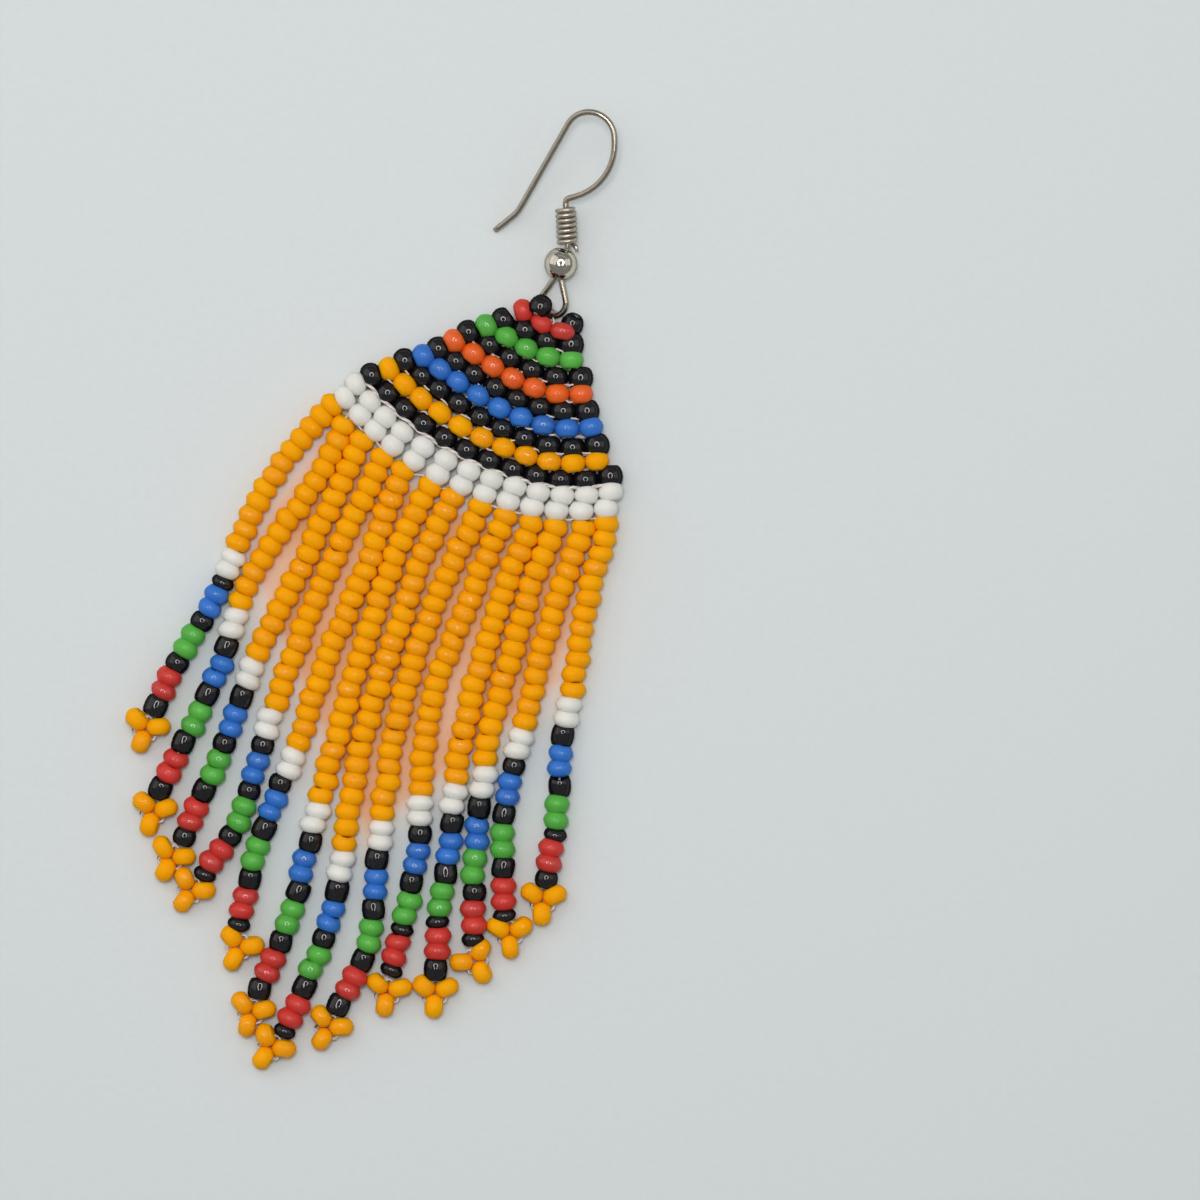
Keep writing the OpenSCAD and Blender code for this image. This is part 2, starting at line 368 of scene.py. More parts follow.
def finished_piece(name: str, bm: BMesh, materials: list[Material]) -> Object:
    """Turns a bmesh into a smooth piece of the object that rides on its body.

    Args:
        name: The piece's name.
        bm: The shape, which is freed.
        materials: The piece's materials, in the order of its faces' numbers.

    Returns:
        The piece.
    """
    bmesh.ops.recalc_face_normals(bm, faces=bm.faces)
    for face in bm.faces:
        face.smooth = True
    thing = placed(name, finished_mesh(name, bm))
    for material in materials:
        thing.data.materials.append(material)
    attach(thing, BODY)
    return thing


@dataclass(frozen=True)
class BeadShape:
    """Size of one cut of seed bead: its diameter, its length along the hole and the hole's width.

    `square` goes from 0, rounded like a ring, to 1, a short cut tube with softened rims. `nest` is
    how far its rounded rims settle into its neighbours on a string.
    """

    across: float
    along: float
    square: float = 0.0
    nest: float = 0.0
    hole: float = 0.8 * MM
    # Shares of the cage's radius at the rim and of its height at the shoulder, for a rounded bead,
    # and what a cut tube has more
    rim: Pair = (0.47, 0.43)
    shoulder: Pair = (0.22, 0.74)
    # Height of the hole's corners as a share of the cage's
    mouth: float = 0.5

    def outline(self) -> list[Pair]:
        """Works out the outline of half the drilled bead, large enough for the smoothing to draw in.

        The smoothed surface passes at a sixth of the two neighbours and four sixths of each corner,
        and half-way between two corners at 1/48, 23/48, 23/48 and 1/48 of the four around it.

        Returns:
            (radius, height) of each corner, once round the wall of the bead.
        """
        ring_share = (2 + math.cos(2 * math.pi / CAGE_SIDES)) / 3
        rim = self.rim[0] + self.rim[1] * self.square
        shoulder = self.shoulder[0] + self.shoulder[1] * self.square
        wall = self.across / 2 * 48 / (46 + 2 * rim) / ring_share
        half = self.along / 2 * 6 / (4 + shoulder + self.mouth)
        inner = self.hole / 2 / ring_share
        upper = [(wall * rim, half), (wall, half * shoulder)]
        lower = [(radius, -height) for radius, height in reversed(upper)]
        return [*upper, *lower, (inner, -half * self.mouth), (inner, half * self.mouth)]


class Cut(Enum):
    """The cuts of seed bead. The coloured beads are rounded, and the black ones vary most."""

    ROUND = BeadShape(2.32 * MM, 1.68 * MM, nest=0.235 * MM)
    WOVEN = BeadShape(2.3 * MM, 1.78 * MM, square=0.02)
    WOVEN_BLACK = BeadShape(2.38 * MM, 1.72 * MM, square=0.2)
    END_BLACK = BeadShape(2.36 * MM, 1.98 * MM, square=0.18)
    PICOT = BeadShape(2.24 * MM, 1.56 * MM, square=0.1)
    THIN = BeadShape(2.15 * MM, 1.2 * MM, square=0.1, nest=0.09 * MM)
    MEDIUM = BeadShape(2.16 * MM, 1.6 * MM, square=0.34, nest=0.1 * MM)
    LONG = BeadShape(2.14 * MM, 1.92 * MM, square=0.5, nest=0.08 * MM)
    WIDE = BeadShape(2.26 * MM, 1.84 * MM, square=0.36, nest=0.08 * MM)


@cache
def cage(cut: Cut) -> Mesh:
    """Gives the cage that the beads of a cut are copied from, made once, with its hole along Z."""
    bm = bmesh.new()
    bm.verts.layers.float.new("bead_tone")
    lathe(bm, cut.value.outline(), CAGE_SIDES)
    return finished_mesh("bead_cage_" + cut.name.lower(), bm)


class Hand:
    """The small unevenness of hand-strung beads, the same each time for the same seed."""

    def __init__(self, seed: int) -> None:
        """Starts the series of small changes from a seed."""
        self.series = random.Random(seed)

    def about(self, amount: float) -> float:
        """Gives a small change of either sign, at most twice the amount and usually less than it."""
        return max(-2.0, min(2.0, self.series.gauss(0.0, 1.0))) * amount

    def upto(self, amount: float) -> float:
        """Gives a number from 0 to the amount."""
        return self.series.random() * amount


class BeadWork:
    """Many beads gathered into one mesh, each a copy of its cut's cage."""

    # How much the beads of one cut differ in diameter and in length
    WIDTH_SPREAD = 0.016
    LENGTH_SPREAD = 0.025

    def __init__(self, hand: Hand) -> None:
        """Starts an empty piece of beadwork, whose beads' small differences come from the hand."""
        self.hand = hand
        self.bm = bmesh.new()
        self.tone = self.bm.verts.layers.float.new("bead_tone")
        self.used: list[Glass] = []

    def add(
        self, cut: Cut, glass: Glass, centre: Vector, hole: Vector, stretch: float = 1.0,
        wobble: float = 4.0, plump: float = 1.0,
    ) -> None:
        """Adds one bead.

        Args:
            cut: The bead's shape.
            glass: The bead's colour.
            centre: The middle of the bead.
            hole: The direction of its hole.
            stretch: Factor on the bead's length.
            wobble: Usual tilt of the bead on its thread, in degrees.
            plump: Factor on the bead's diameter.
        """
        if glass not in self.used:
            self.used.append(glass)
        tilt = Vector([self.hand.about(math.radians(wobble)) for _ in range(3)])
        turn = (hole.normalized() + tilt).to_track_quat("Z", "Y").to_matrix().to_4x4()
        wide = plump * (1.0 + self.hand.about(self.WIDTH_SPREAD))
        roll = Matrix.Rotation(self.hand.upto(2 * math.pi), 4, "Z")
        long = stretch * (1.0 + self.hand.about(self.LENGTH_SPREAD))
        place = Matrix.Translation(centre) @ turn @ roll @ Matrix.Diagonal((wide, wide, long, 1.0))
        verts_before = len(self.bm.verts)
        faces_before = len(self.bm.faces)
        self.bm.from_mesh(cage(cut))
        self.bm.verts.ensure_lookup_table()
        self.bm.faces.ensure_lookup_table()
        bead = self.bm.verts[verts_before:]
        bmesh.ops.transform(self.bm, matrix=place, verts=bead)
        tone = self.hand.upto(1.0)
        for vert in bead:
            vert[self.tone] = tone
        for face in self.bm.faces[faces_before:]:
            face.material_index = self.used.index(glass)

    def piece(self, name: str, slot: str) -> Object:
        """Makes the finished piece, with its glass and its smoothing.

        Args:
            name: The piece's name.
            slot: The record's material slot; not used.

        Returns:
            The piece, riding on the body.
        """
        thing = finished_piece(name, self.bm, [glass.value.material() for glass in self.used])
        rounding = thing.modifiers.new("rounding", "SUBSURF")
        rounding.levels = SMOOTHING
        rounding.render_levels = SMOOTHING
        return thing


class Route:
    """A smooth line through a few points, which can be walked by distance."""

    SAMPLES = 24
    # Distance before and behind a place from which its direction is taken
    REACH = 0.25 * MM

    def __init__(self, points: list[Vector]) -> None:
        """Draws the line through the points, in order."""
        ends = [2 * points[0] - points[1], *points, 2 * points[-1] - points[-2]]
        self.line = [points[0].copy()]
        for stretch in zip(ends, ends[1:], ends[2:], ends[3:]):
            for sample in range(1, self.SAMPLES + 1):
                self.line.append(self.between(*stretch, sample / self.SAMPLES))
        self.reached = [0.0]
        for one, other in zip(self.line, self.line[1:]):
            self.reached.append(self.reached[-1] + (other - one).length)
        self.length = self.reached[-1]

    @staticmethod
    def between(before: Vector, start: Vector, end: Vector, after: Vector, share: float) -> Vector:
        """Gives the point of a smooth line at a share of the way from start to end."""
        return 0.5 * (
            2 * start
            + (end - before) * share
            + (2 * before - 5 * start + 4 * end - after) * share**2
            + (3 * start - before - 3 * end + after) * share**3
        )

    def at(self, distance: float) -> Vector:
        """Gives the place at a distance along the line, also a little beyond either end."""
        i = min(max(bisect_left(self.reached, distance) - 1, 0), len(self.reached) - 2)
        share = (distance - self.reached[i]) / (self.reached[i + 1] - self.reached[i])
        return self.line[i].lerp(self.line[i + 1], share)

    def heading(self, distance: float) -> Vector:
        """Gives the line's direction at a distance along it."""
        return (self.at(distance + self.REACH) - self.at(distance - self.REACH)).normalized()


class Threading:
    """Lengths of round thread or wire gathered into one mesh, each drawn by extruding a ring."""

    # Steps from the middle of a short arch to either end
    ARCH_STEPS = 3

    def __init__(self, sides: int) -> None:
        """Starts with nothing drawn, and with the number of sides of the ring."""
        self.sides = sides
        self.bm = bmesh.new()
        self.course = self.bm.verts.layers.float_vector.new("thread_course")

    def draw(self, path: list[Vector], radius: float, tip_share: float = 0.7) -> None:
        """Draws one length along a path, with softened ends.

        Args:
            path: The places along the middle of the thread.
            radius: The thread's radius.
            tip_share: Radius of both ends as a share of the thread's.
        """
        around = zip([path[0], *path], [*path[1:], path[-1]])
        headings = [(after - before).normalized() for before, after in around]
        start = Matrix.Translation(path[0]) @ headings[0].to_track_quat("Z", "Y").to_matrix().to_4x4()
        circle = bmesh.ops.create_circle(self.bm, segments=self.sides, radius=radius, matrix=start)
        ring = circle["verts"]
        edges = list({edge for vert in ring for edge in vert.link_edges})
        walked = 0.0
        # The way round and the way along go into the attribute that twists the plies
        for i, vert in enumerate(ring):
            vert[self.course] = pointing(360 * i / self.sides)
        ends = [(ring, edges, path[0])]
        for i in range(1, len(path)):
            grown = bmesh.ops.extrude_edge_only(self.bm, edges=edges)["geom"]
            ring = [part for part in grown if isinstance(part, BMVert)]
            edges = [part for part in grown if isinstance(part, BMEdge)]
            swing = headings[i - 1].rotation_difference(headings[i]).to_matrix().to_4x4()
            move = Matrix.Translation(path[i]) @ swing @ Matrix.Translation(-path[i - 1])
            bmesh.ops.transform(self.bm, matrix=move, verts=ring)
            walked += (path[i] - path[i - 1]).length
            for vert in ring:
                vert[self.course].z = walked
        for end_ring, end_edges, middle in (*ends, (ring, edges, path[-1])):
            centre = Matrix.Translation(middle)
            shrink = centre @ Matrix.Scale(tip_share, 4) @ centre.inverted()
            bmesh.ops.transform(self.bm, matrix=shrink, verts=end_ring)
            bmesh.ops.contextual_create(self.bm, geom=end_edges)

    def arch(
        self, middle: Vector, along: Vector, span: float, drop: float, radius: float, bow: float = 0.0
    ) -> None:
        """Draws a short bit of thread that comes up between the beads and dives down again.

        Args:
            middle: The bit's highest place.
            along: The direction that it runs in.
            span: Distance between its two ends.
            drop: How far its ends lie below its middle.
            radius: The thread's radius.
            bow: How far its ends lie to one side of its middle.
        """
        run = along.normalized()
        bend = run.cross(UP) * bow - UP * drop
        steps = [step / self.ARCH_STEPS for step in range(-self.ARCH_STEPS, self.ARCH_STEPS + 1)]
        self.draw([middle + run * span / 2 * step + bend * step**2 for step in steps], radius)


@dataclass
class FanRow:
    """One full row of the woven fan.

    The row is an arc whose first and last bead lean so many degrees to the left of straight down.
    Weaving pulls it up by `dip` millimetres near its left end and lets it down by `rise` near its
    right end, and its second to fifth beads crowd to the left by `bunch`.
    """

    beads: int
    first: float
    last: float
    glass: Glass
    dip: float
    rise: float
    bunch: float = 0.0
    # How far the lower ends of its beads tip up, in degrees
    tip: float = 4.0


@dataclass(frozen=True)
class Seam:
    """The stitches that come up in the notches below a row, in millimetres.

    The share of the notches that have one goes from `first` at the row's left end to `last`.
    """

    span: float
    first: float
    last: float
    outwards: float = 0.7
    height: float = 1.98


@dataclass
class Fan:
    """The woven fan: rows of beads in brick stitch, with loose beads at its top by the hook's loop.

    Its sizes are in millimetres and degrees.
    """

    centre: Pair = (18.5, 34.6)
    first_row: float = 12.19
    row_pitch: float = 1.49
    end_tilt: float = 20.0
    lie: float = 1.2
    coloured_lift: float = 0.26
    black_shift: float = 0.08
    # How much the beads of a row differ in height, in lean and in tip, and how much each is tilted
    unevenness: Triple = (0.08, 4.0, 3.0)
    row_wobble: float = 2.0
    # Middle and width of the dip, the rise and the crowding of a row, as shares of its length
    dip_spread: Pair = (0.24, 0.3)
    rise_spread: Pair = (0.85, 0.2)
    bunch_spread: Pair = (0.25, 0.16)
    rows: tuple[FanRow, ...] = (
        FanRow(4, 34.2, 2.9, Glass.BLACK, 0.35, 0.0),
        FanRow(5, 38.2, 2.6, Glass.GREEN, 0.4, 0.0, tip=6.0),
        FanRow(6, 41.8, -0.9, Glass.BLACK, 0.6, 0.1),
        FanRow(7, 43.3, -1.0, Glass.VERMILION, 0.5, 0.2, tip=6.0),
        FanRow(8, 45.0, -2.6, Glass.BLACK, 0.6, 0.15, 0.3),
        FanRow(9, 46.5, -3.4, Glass.BLUE, 0.55, 0.3, 0.3, tip=6.0),
        FanRow(10, 48.8, -4.6, Glass.BLACK, 0.6, 0.45, 0.3),
        FanRow(11, 49.8, -4.3, Glass.ORANGE, 0.3, 0.5, 0.3, tip=6.0),
        FanRow(12, 51.2, -6.9, Glass.BLACK, 0.2, 0.4, 0.2),
        FanRow(13, 51.8, -6.6, Glass.WHITE, -0.15, 0.35, 0.5, tip=2.0),
        FanRow(13, 51.0, -5.3, Glass.WHITE, -0.15, 0.3, 0.6, tip=-7.0),
    )
    # Middle of each loose bead, its hole's degrees from +X and up from flat, and its colour
    top_beads: tuple[tuple[float, float, float, float, float, Glass], ...] = (
        (15.1, 25.78, 1.9, 58, -18, Glass.BLACK),
        (17.95, 24.15, 1.25, 62, 26, Glass.BLACK),
        (13.5, 25.4, 1.4, 13, 0, Glass.RED),
        (15.2, 24.2, 1.5, 52, 0, Glass.RED),
        (17.1, 23.5, 1.95, 78, 0, Glass.RED),
    )
    # Factors on the width and the length of the loose beads
    top_black: Pair = (0.95, 1.24)
    top_red: Pair = (1.03, 1.02)
    # The long thread under the last black row: its thickness, its steps for each bead, and its
    # distance from the row's line and its height, each with how far it waves
    run_thread: float = 0.34
    run_steps: int = 6
    run_distance: Pair = (0.82, 0.07)
    run_height: Pair = (1.98, 0.13)
    # Distance from the row's line and height of the thread low down between the rows, its steps for
    # each bead, and its radius in thread thicknesses
    low_thread: Pair = (0.74, 1.15)
    low_steps: int = 4
    low_radius: float = 0.7
    black_seam: Seam = Seam(1.3, 0.85, 0.85)
    coloured_seam: Seam = Seam(0.9, 0.4, 0.4)
    last_seam: Seam = Seam(1.3, 0.4, 0.9, 0.8, 1.78)
    stitch_drop: float = 0.3
    stitch_radius: float = 0.33
    # How much a stitch differs in place, as a share of the gap, in length, in direction and in bow
    stitch_unevenness: tuple[float, float, float, float] = (0.1, 0.15, 9.0, 0.13)
    # Places where the thread shows as a small tangle of arches, and their length, drop and radius
    tangles: tuple[Triple, ...] = (
        (14.75, 25.35, 2.15),
        (16.3, 24.25, 1.8),
        (6.5, 22.9, 1.7),
        (19.3, 13.9, 1.7),
        (19.5, 14.2, 1.6),
    )
    tangle_span: Pair = (0.6, 0.3)
    tangle_drop: float = 0.4
    tangle_radius: float = 0.36
    # How much an arch of a tangle differs in place, in height and in direction
    tangle_unevenness: Triple = (0.1, 0.06, 25.0)
    hand: Hand = field(default_factory=lambda: Hand(11))
    thread: Threading = field(default_factory=lambda: Threading(THREAD_SIDES))

    @staticmethod
    def swell(share: float, spread: Pair) -> float:
        """Gives how much of an unevenness, with its middle and width, is felt at a share of a row."""
        return math.exp(-(((share - spread[0]) / spread[1]) ** 2))

    def place(self, number: int, share: float, outwards: float, height: float) -> tuple[Vector, float]:
        """Gives a place on a row.

        Args:
            number: The row, counted from the top.
            share: How far along the row, from 0 at its first bead to 1 at its last.
            outwards: Distance from the row's own line, away from the arcs' middle, in millimetres.
            height: Height above the surface, in millimetres.

        Returns:
            The place, and its lean in degrees.
        """
        row = self.rows[number]
        radius = self.first_row + number * self.row_pitch + outwards
        radius -= row.dip * self.swell(share, self.dip_spread)
        radius += row.rise * self.swell(share, self.rise_spread)
        crowd = row.bunch * self.swell(share, self.bunch_spread)
        lean = row.first + (row.last - row.first) * share + math.degrees(crowd / radius)
        spot = leaning(lean) * radius
        return on_drawing(self.centre[0] + spot.x, self.centre[1] + spot.y, height), lean

    def beads(self) -> Object:
        """Makes all the beads of the fan as one piece."""
        work = BeadWork(self.hand)
        higher, turned, tipped = self.unevenness
        for number, row in enumerate(self.rows):
            black = row.glass is Glass.BLACK
            for i in range(row.beads):
                cut = Cut.WOVEN
                if black:
                    cut = Cut.END_BLACK if i == row.beads - 1 else Cut.WOVEN_BLACK
                height = self.lie + self.hand.upto(higher) + (0.0 if black else self.coloured_lift)
                shift = self.black_shift if black else 0.0
                centre, lean = self.place(number, i / (row.beads - 1), shift, height)
                tilt = self.end_tilt if i == 0 else self.hand.about(turned)
                tip = math.tan(math.radians(row.tip + self.hand.about(tipped)))
                hole = leaning(lean + tilt) + UP * tip
                work.add(cut, row.glass, centre, hole, wobble=self.row_wobble)
        for x, y, z, direction, tip, glass in self.top_beads:
            plump, stretch = self.top_black if glass is Glass.BLACK else self.top_red
            hole = pointing(direction) + UP * math.tan(math.radians(tip))
            work.add(Cut.PICOT, glass, on_drawing(x, y, z), hole, stretch, wobble=1.0, plump=plump)
        thing = work.piece("fan_beads", "fan_beads")
        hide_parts("yoke")
        return thing

    def long_run(self, number: int) -> None:
        """Draws the twisted thread that shows all along under the last black row.

        Args:
            number: The row above the thread.
        """
        steps = self.run_steps * (self.rows[number].beads - 1)
        (distance, sway), (height, swing) = self.run_distance, self.run_height
        path = []
        for step in range(steps + 1):
            wave = math.cos(2 * math.pi * step / self.run_steps)
            spot, _ = self.place(number, step / steps, distance + sway * wave, height - swing * wave)
            path.append(spot)
        self.thread.draw(path, self.run_thread / 2 * MM)

    def seam_stitches(self) -> None:
        """Draws the thread between the rows: low down all along, and short bits up in the notches."""
        hand = Hand(29)
        moved, longer, turned, bowed = self.stitch_unevenness
        drop, radius = self.stitch_drop * MM, THREAD * self.stitch_radius
        for number, row in enumerate(self.rows):
            black = row.glass is Glass.BLACK
            last = number == len(self.rows) - 1
            if black and self.rows[number + 1].glass is Glass.WHITE:
                self.long_run(number)
                continue
            if row.glass is Glass.WHITE and not last:
                continue
            if not last:
                steps = self.low_steps * (row.beads - 1)
                low = [self.place(number, i / steps, *self.low_thread)[0] for i in range(steps + 1)]
                self.thread.draw(low, THREAD * self.low_radius)
            seam = self.last_seam if last else self.black_seam if black else self.coloured_seam
            for gap in range(row.beads - 1):
                share = (gap + 0.5 + hand.about(moved)) / (row.beads - 1)
                chance = hand.upto(1.0)
                span = (seam.span + hand.about(longer)) * MM
                if chance > seam.first + (seam.last - seam.first) * share:
                    continue
                middle, lean = self.place(number, share, seam.outwards, seam.height)
                run = pointing(-lean + hand.about(turned))
                self.thread.arch(middle, run, span, drop, radius, hand.about(bowed) * MM)

    def knots(self) -> None:
        """Draws the small tangles where the thread turns back at the edges and by the top beads."""
        hand = Hand(31)
        drop, radius = self.tangle_drop * MM, THREAD * self.tangle_radius
        moved, lifted, turned = self.tangle_unevenness
        for x, y, z in self.tangles:
            for direction in (0, 60, 120):
                middle = on_drawing(
                    x + hand.about(moved), y + hand.about(moved), z + hand.about(lifted)
                )
                run = pointing(direction + hand.about(turned))
                span = (self.tangle_span[0] + hand.upto(self.tangle_span[1])) * MM
                self.thread.arch(middle, run, span, drop, radius)

    def build(self) -> list[Object]:
        """Builds the fan's beads and its thread."""
        self.seam_stitches()
        self.knots()
        thread = finished_piece("fan_thread", self.thread.bm, [ThreadFinish().material()])
        return [self.beads(), thread]


@dataclass
class StringPlan:
    """One string of the fringe: how it is strung and how it lies.

    `black` has a letter for each of the four black beads from the top, T, M, L or W for a thin,
    medium, long or wide one, and - where the string has none. The route runs from the middle of the
    first bead to the middle of the last, and then come the middle of the picot and the direction of
    its first bead.
    """

    orange: int
    black: str
    route: tuple[Pair, ...]
    picot: Pair
    picot_first: float

    def beads(self) -> list[tuple[Cut, Glass]]:
        """Lists the beads from the fan down to the last one above the picot."""
        cuts = {"T": Cut.THIN, "M": Cut.MEDIUM, "L": Cut.LONG, "W": Cut.WIDE}
        beads = [(Cut.ROUND, Glass.ORANGE)] * self.orange
        for glass, letter in zip((Glass.WHITE, Glass.BLUE, Glass.GREEN, Glass.RED), self.black):
            beads += [(Cut.ROUND, glass)] * 2
            if letter != "-":
                beads.append((cuts[letter], Glass.BLACK))
        return beads


STRINGS = (
    StringPlan(12, "TMML", ((-3.9, 16.9), (-7.6, 12.7), (-10.5, 8.1), (-12.8, 3.2), (-14.4, -0.5),
        (-17.3, -5.4), (-19.9, -10.5)), (-20.8, -12.6), 131),
    StringPlan(14, "LLLL", ((-2.8, 15.0), (-5.3, 10.0), (-8.5, 5.4), (-11.5, 0.5), (-13.9, -6.6),
        (-16.6, -12.4), (-19.4, -18.0)), (-20.1, -20.1), 135),
    StringPlan(16, "LMLM", ((-1.1, 13.6), (-3.7, 8.3), (-6.1, 3.4), (-8.6, -1.6), (-10.5, -5.4),
        (-12.6, -11.2), (-14.8, -16.6), (-17.4, -22.3)), (-18.5, -24.3), 126),
    StringPlan(18, "MMMT", ((0.8, 12.0), (-1.8, 7.0), (-4.1, 2.0), (-6.3, -3.2), (-9.0, -10.1),
        (-10.6, -15.5), (-12.3, -21.0), (-15.5, -25.7)), (-16.7, -27.2), 119),
    StringPlan(20, "MLLT", ((2.6, 10.9), (0.7, 6.2), (-1.2, 1.1), (-3.5, -4.1), (-5.5, -9.3),
        (-6.8, -13.3), (-8.9, -18.7), (-11.0, -24.4), (-12.3, -30.3)), (-12.3, -32.4), 126),
    StringPlan(22, "LLLL", ((5.0, 9.5), (2.6, 4.8), (0.5, -0.6), (-1.2, -5.7), (-2.8, -11.2),
        (-4.7, -18.0), (-6.2, -24.0), (-7.8, -30.1), (-10.4, -36.2)), (-11.2, -38.35), 133),
    StringPlan(24, "LMLT", ((7.1, 8.5), (4.5, 3.5), (2.6, -2.0), (0.7, -7.4), (-0.9, -12.8),
        (-1.8, -17.0), (-2.7, -22.7), (-3.8, -29.0), (-5.7, -34.5), (-8.2, -40.0)), (-9.4, -41.5), 114),
    StringPlan(22, "LLLL", ((9.7, 7.6), (7.1, 2.4), (4.9, -2.7), (3.1, -7.7), (1.8, -13.2),
        (0.7, -20.4), (0.1, -26.3), (-0.6, -32.2), (-3.2, -37.7)), (-4.2, -39.7), 122),
    StringPlan(20, "WLTT", ((11.9, 6.8), (9.7, 2.0), (7.7, -3.1), (5.7, -8.1), (4.6, -13.4),
        (4.2, -17.7), (4.0, -23.4), (2.8, -29.4), (1.6, -34.5)), (1.2, -36.5), 139),
    StringPlan(18, "LLTL", ((14.3, 6.1), (12.1, 0.8), (10.4, -4.3), (8.8, -9.7), (7.4, -16.6),
        (6.8, -22.9), (5.9, -28.9), (5.6, -34.4)), (5.5, -36.6), 145),
    StringPlan(16, "L-MT", ((16.5, 5.8), (14.4, 0.7), (12.3, -6.4), (10.6, -12.0), (9.8, -17.9),
        (9.0, -25.8), (9.0, -31.7)), (9.1, -33.7), 183),
    StringPlan(14, "MLLT", ((18.9, 5.8), (17.0, 0.5), (15.3, -5.0), (14.1, -10.2), (12.3, -17.5),
        (11.7, -23.7), (11.8, -29.5)), (12.3, -31.2), 151),
    StringPlan(12, "LLTM", ((21.2, 6.1), (19.7, 0.5), (18.6, -4.8), (17.7, -10.1), (17.0, -14.4),
        (16.5, -20.6), (15.6, -26.2)), (15.3, -28.2), 145),
)


@dataclass
class Fringe:
    """The thirteen strings of beads that hang from the fan, each with a picot of three at its tip.

    Its sizes are in millimetres and degrees.
    """

    plans: tuple[StringPlan, ...] = STRINGS
    lie: float = 1.2
    # The upper rim of each bead rides up on the bead before it, by this tilt
    overlap_tilt: float = 7.0
    # How much a bead stands aside from the string and up from the surface, and its usual tilt
    aside: float = 0.075
    lift: float = 0.12
    wobble: float = 6.5
    picot_radius: float = 1.2
    # Where the thread starts above the first bead and where it enters it, each with its height
    thread_start: Pair = (2.3, 0.25)
    thread_mouth: Pair = (0.9, 0.3)
    # How far the thread bows out between the picot's beads
    picot_bow: float = 1.22
    thread: Threading = field(default_factory=lambda: Threading(THREAD_SIDES))

    @staticmethod
    def strung(cut: Cut, glass: Glass) -> float:
        """Gives the length of string that a bead takes up, by its colour's batch."""
        share = {Glass.ORANGE: 0.99, Glass.WHITE: 0.94, Glass.BLUE: 0.98, Glass.GREEN: 1.05}
        return (cut.value.along - cut.value.nest) * share.get(glass, 1.0)

    @staticmethod
    def plumpness(glass: Glass) -> float:
        """Gives the factor on a bead's diameter, by its colour's batch."""
        share = {Glass.WHITE: 1.07, Glass.RED: 1.07, Glass.ORANGE: 1.02, Glass.GREEN: 1.02}
        return share.get(glass, 1.0)

    def string(self, number: int, plan: StringPlan) -> Object:
        """Strings one strand.

        Args:
            number: The string, counted from the left.
            plan: How it is strung and how it lies.

        Returns:
            The string's beads as one piece.
        """
        hand = Hand(100 + number)
        work = BeadWork(hand)
        route = Route([on_drawing(x, y, self.lie) for x, y in plan.route])
        beads = plan.beads()
        lengths = [self.strung(cut, glass) for cut, glass in beads]
        fit = route.length / (sum(lengths) - lengths[0] / 2 - lengths[-1] / 2)
        reached = 0.0
        holes = []
        for i, (cut, glass) in enumerate(beads):
            if i > 0:
                reached += (lengths[i - 1] + lengths[i]) / 2 * fit
            heading = route.heading(reached)
            aside = heading.cross(UP) * hand.about(self.aside * MM)
            plump = self.plumpness(glass)
            lift = (plump - 1.0) * cut.value.across / 2 + hand.upto(self.lift * MM)
            centre = route.at(reached) + aside + UP * lift
            stretch = fit * lengths[i] / (cut.value.along - cut.value.nest)
            hole = heading - UP * math.tan(math.radians(self.overlap_tilt))
            work.add(cut, glass, centre, hole, stretch, self.wobble, plump)
            holes.append(centre)
        tip = on_drawing(*plan.picot, self.lie)
        for turn in (0, 120, 240):
            outwards = pointing(plan.picot_first - turn)
            middle = tip + outwards * self.picot_radius * MM
            work.add(Cut.PICOT, Glass.ORANGE, middle, outwards.cross(UP))
        self.thread.draw(self.thread_path(route.heading(0.0), holes, plan), THREAD / 2)
        name = f"strand_{number:02d}"
        thing = work.piece(name + "_beads", "fringe_beads")
        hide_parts(name)
        return thing

    def thread_path(self, heading: Vector, holes: list[Vector], plan: StringPlan) -> list[Vector]:
        """Works out the thread's way: out of the fan, through the beads and round the picot.

        Args:
            heading: The string's direction at its first bead.
            holes: The middle of each bead.
            plan: How the string lies.

        Returns:
            The places along the thread.
        """
        tip = on_drawing(*plan.picot, self.lie)
        path = [
            holes[0] - heading * back * MM + UP * height * MM
            for back, height in (self.thread_start, self.thread_mouth)
        ]
        path += holes
        # Round the picot the thread bows out on either side of each bead
        for step in range(7):
            radius = self.picot_bow if step % 2 == 0 else self.picot_radius
            path.append(tip + pointing(plan.picot_first + 60 - 60 * step) * radius * MM)
        return path

    def build(self) -> list[Object]:
        """Builds all the strings and the thread through them."""
        strings = [self.string(number, plan) for number, plan in enumerate(self.plans, 1)]
        thread = finished_piece("fringe_thread", self.thread.bm, [ThreadFinish().material()])
        return [*strings, thread]


